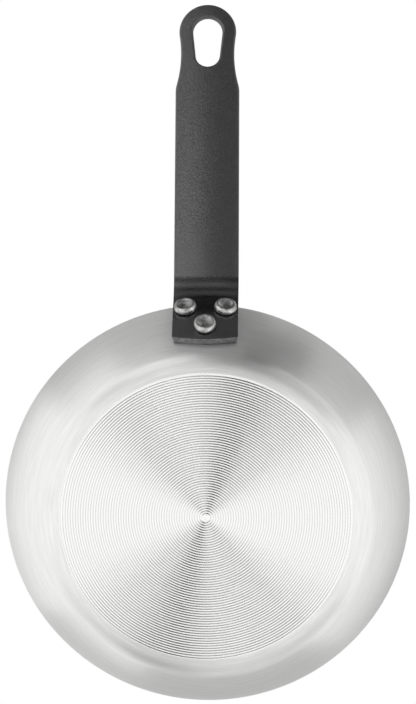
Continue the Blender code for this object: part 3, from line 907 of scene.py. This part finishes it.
# %% [markdown]
# ## The rivets
# Each rivet is soft aluminium, set by a punch, which leaves its head scuffed: dull where the punch bit and
# brighter where it slid. A painted map could be laid on each head, but one noise that moves the colour, the
# roughness and the bump together is enough for a head of 6.6 mm.

# %% Rivet aluminium
SCUFF_SIZE = 1.3 * MM
SCUFF_DEPTH = 0.05 * MM

riveted, tree, shader = new_material("punched_aluminium")
place = add_node(tree, "ShaderNodeTexCoord").outputs["Object"]
scuff = add_node(tree, "ShaderNodeTexNoise",
                 {"Vector": place, "Scale": per_metre(SCUFF_SIZE), "Detail": 4.0, "Roughness": 0.65})
spread = add_node(tree, "ShaderNodeMapRange", {"Value": scuff.outputs["Fac"], "From Min": 0.35,
                                               "From Max": 0.65})
finish = add_node(tree, "ShaderNodeMix", {0: spread.outputs[0], 6: colour("A4A4A3"), 7: colour("E2E2E1")},
                  data_type="RGBA")
rough = add_node(tree, "ShaderNodeMapRange", {"Value": spread.outputs[0], "To Min": 0.36, "To Max": 0.24})
bump = add_node(tree, "ShaderNodeBump", {"Height": scuff.outputs["Fac"], "Distance": SCUFF_DEPTH})
shader.inputs["Metallic"].default_value = 1.0
tree.links.new(finish.outputs[2], shader.inputs["Base Color"])
tree.links.new(rough.outputs[0], shader.inputs["Roughness"])
tree.links.new(bump.outputs[0], shader.inputs["Normal"])
print("Material", riveted.name, "with", len(tree.nodes), "nodes")

# %% [markdown]
# A set rivet is round, so it is turned from half a section: a shallow dish with a raised lip, a bulged side,
# the shank through plate and sheet, and a low plain dome inside. The lip, the shoulder and the foot of the
# head are rounded a little, because soft metal keeps no sharp edge under a punch.

# %% Draw a rivet's section
SHANK_RADIUS = 2.4 * MM
HEAD_RADIUS = 3.3 * MM
HEAD_HEIGHT = 1.8 * MM
HEAD_SIDE_HEIGHT = 0.5 * MM
FACE_RADIUS = 2.65 * MM
DISH_RADIUS = 2.25 * MM
DISH_DEPTH = 0.55 * MM
LIP_ROUNDING = 0.12 * MM
INNER_HEAD_RADIUS = 3.8 * MM
INNER_HEAD_HEIGHT = 1.3 * MM
INNER_HEAD_EDGE = 0.4 * MM
DOME_STEPS = 8
DISH_STEPS = 10
BULGE_STEPS = 8
ROUNDING_STEPS = 4


def rivet_section(form):
    """Half a rivet in section, outer head up: z = 0 is the outer face of the plate."""
    crown = SEAT_GAP + HEAD_HEIGHT
    inner_seat = -(STRIP_SHEET + SEAT_GAP + PAN_SHEET) - SEAT_GAP - INNER_HEAD_RADIUS ** 2 / (2 * RIM_RADIUS)
    dome_rise = INNER_HEAD_HEIGHT - INNER_HEAD_EDGE
    dome_radius = (INNER_HEAD_RADIUS ** 2 + dome_rise ** 2) / (2 * dome_rise)
    dome_turn = math.asin(INNER_HEAD_RADIUS / dome_radius)
    dome_centre = (0, inner_seat - INNER_HEAD_EDGE + dome_radius * math.cos(dome_turn))
    dish_radius = (DISH_RADIUS ** 2 + DISH_DEPTH ** 2) / (2 * DISH_DEPTH)
    dish_turn = math.asin(DISH_RADIUS / dish_radius)
    bulge_rise = HEAD_HEIGHT - HEAD_SIDE_HEIGHT
    bulge_turn = 2 * math.atan((HEAD_RADIUS - FACE_RADIUS) / bulge_rise)
    bulge_centre = (HEAD_RADIUS - bulge_rise / math.sin(bulge_turn), SEAT_GAP + HEAD_SIDE_HEIGHT)

    pen = form.verts.new((0, 0, crown - DISH_DEPTH))
    pen = draw_arc(form, pen, (0, crown - DISH_DEPTH + dish_radius), dish_turn, DISH_STEPS)
    lip = pen
    pen = draw_line(form, pen, FACE_RADIUS, crown)
    shoulder = pen
    pen = draw_arc(form, pen, bulge_centre, -bulge_turn, BULGE_STEPS)
    pen = draw_line(form, pen, HEAD_RADIUS, SEAT_GAP)
    foot = pen
    pen = draw_line(form, pen, SHANK_RADIUS, SEAT_GAP)
    pen = draw_line(form, pen, SHANK_RADIUS, inner_seat)
    pen = draw_line(form, pen, INNER_HEAD_RADIUS, inner_seat)
    pen = draw_line(form, pen, INNER_HEAD_RADIUS, inner_seat - INNER_HEAD_EDGE)
    draw_arc(form, pen, dome_centre, -dome_turn, DOME_STEPS)
    bmesh.ops.bevel(form, geom=[lip, shoulder, foot], offset=LIP_ROUNDING, segments=ROUNDING_STEPS,
                    profile=0.5, affect="VERTICES", material=-1)


print("A rivet's head is", round(2 * HEAD_RADIUS / MM, 1), "mm across")

# %% [markdown]
# Two rivets sit side by side high on the plate and one below them. Each stands square to the plate at its
# place, so its axis is the plate's own direction there. No two real heads are alike, so a slow noise pushes
# each head out of round by about a tenth of a millimetre, more towards its top, and the seat stays true. The
# noise gets a seed, because without one it starts from the clock and every run would dent the heads anew.

# %% Set the three rivets
UPPER_RIVET_HEIGHT = 12.3 * MM
LOWER_RIVET_HEIGHT = 6.6 * MM
UPPER_RIVET_SPACING = 11.4 * MM
RIVET_STEPS = 64
DENT_DEPTH = 0.10 * MM
DENT_SIZE = 2.2 * MM
DENT_SEED = 1


def set_rivet(name, node, across, height):
    """Turn a rivet, dent its head a little, and set it square to the plate."""
    distance = (WALL_RADIUS + MID_STRIP) * (wall_slope(height) - FOOT_SLOPE)
    seat = press(across, STRIP_SHEET / 2, distance)
    outward = (seat - press(across, 0, distance)).normalized()
    rivet_form = bmesh.new()
    rivet_section(rivet_form)
    spin_round(rivet_form, RIVET_STEPS)
    bmesh.ops.recalc_face_normals(rivet_form, faces=rivet_form.faces)
    rivet_form.transform(Matrix.Translation(seat) @ outward.to_track_quat("Z", "Y").to_matrix().to_4x4())
    for vert in rivet_form.verts:
        share = min(1.0, max(0.0, (vert.co - seat).dot(outward) / HEAD_HEIGHT))
        vert.co += share * DENT_DEPTH * noise.noise_vector(vert.co / DENT_SIZE)
    add_piece(name, rivet_form, [riveted], node, SHARP)


noise.seed_set(DENT_SEED)
set_rivet("upper_left_rivet", "rivet_left", -UPPER_RIVET_SPACING / 2, UPPER_RIVET_HEIGHT)
set_rivet("upper_right_rivet", "rivet_right", UPPER_RIVET_SPACING / 2, UPPER_RIVET_HEIGHT)
set_rivet("lower_rivet", "rivet_lower", 0, LOWER_RIVET_HEIGHT)
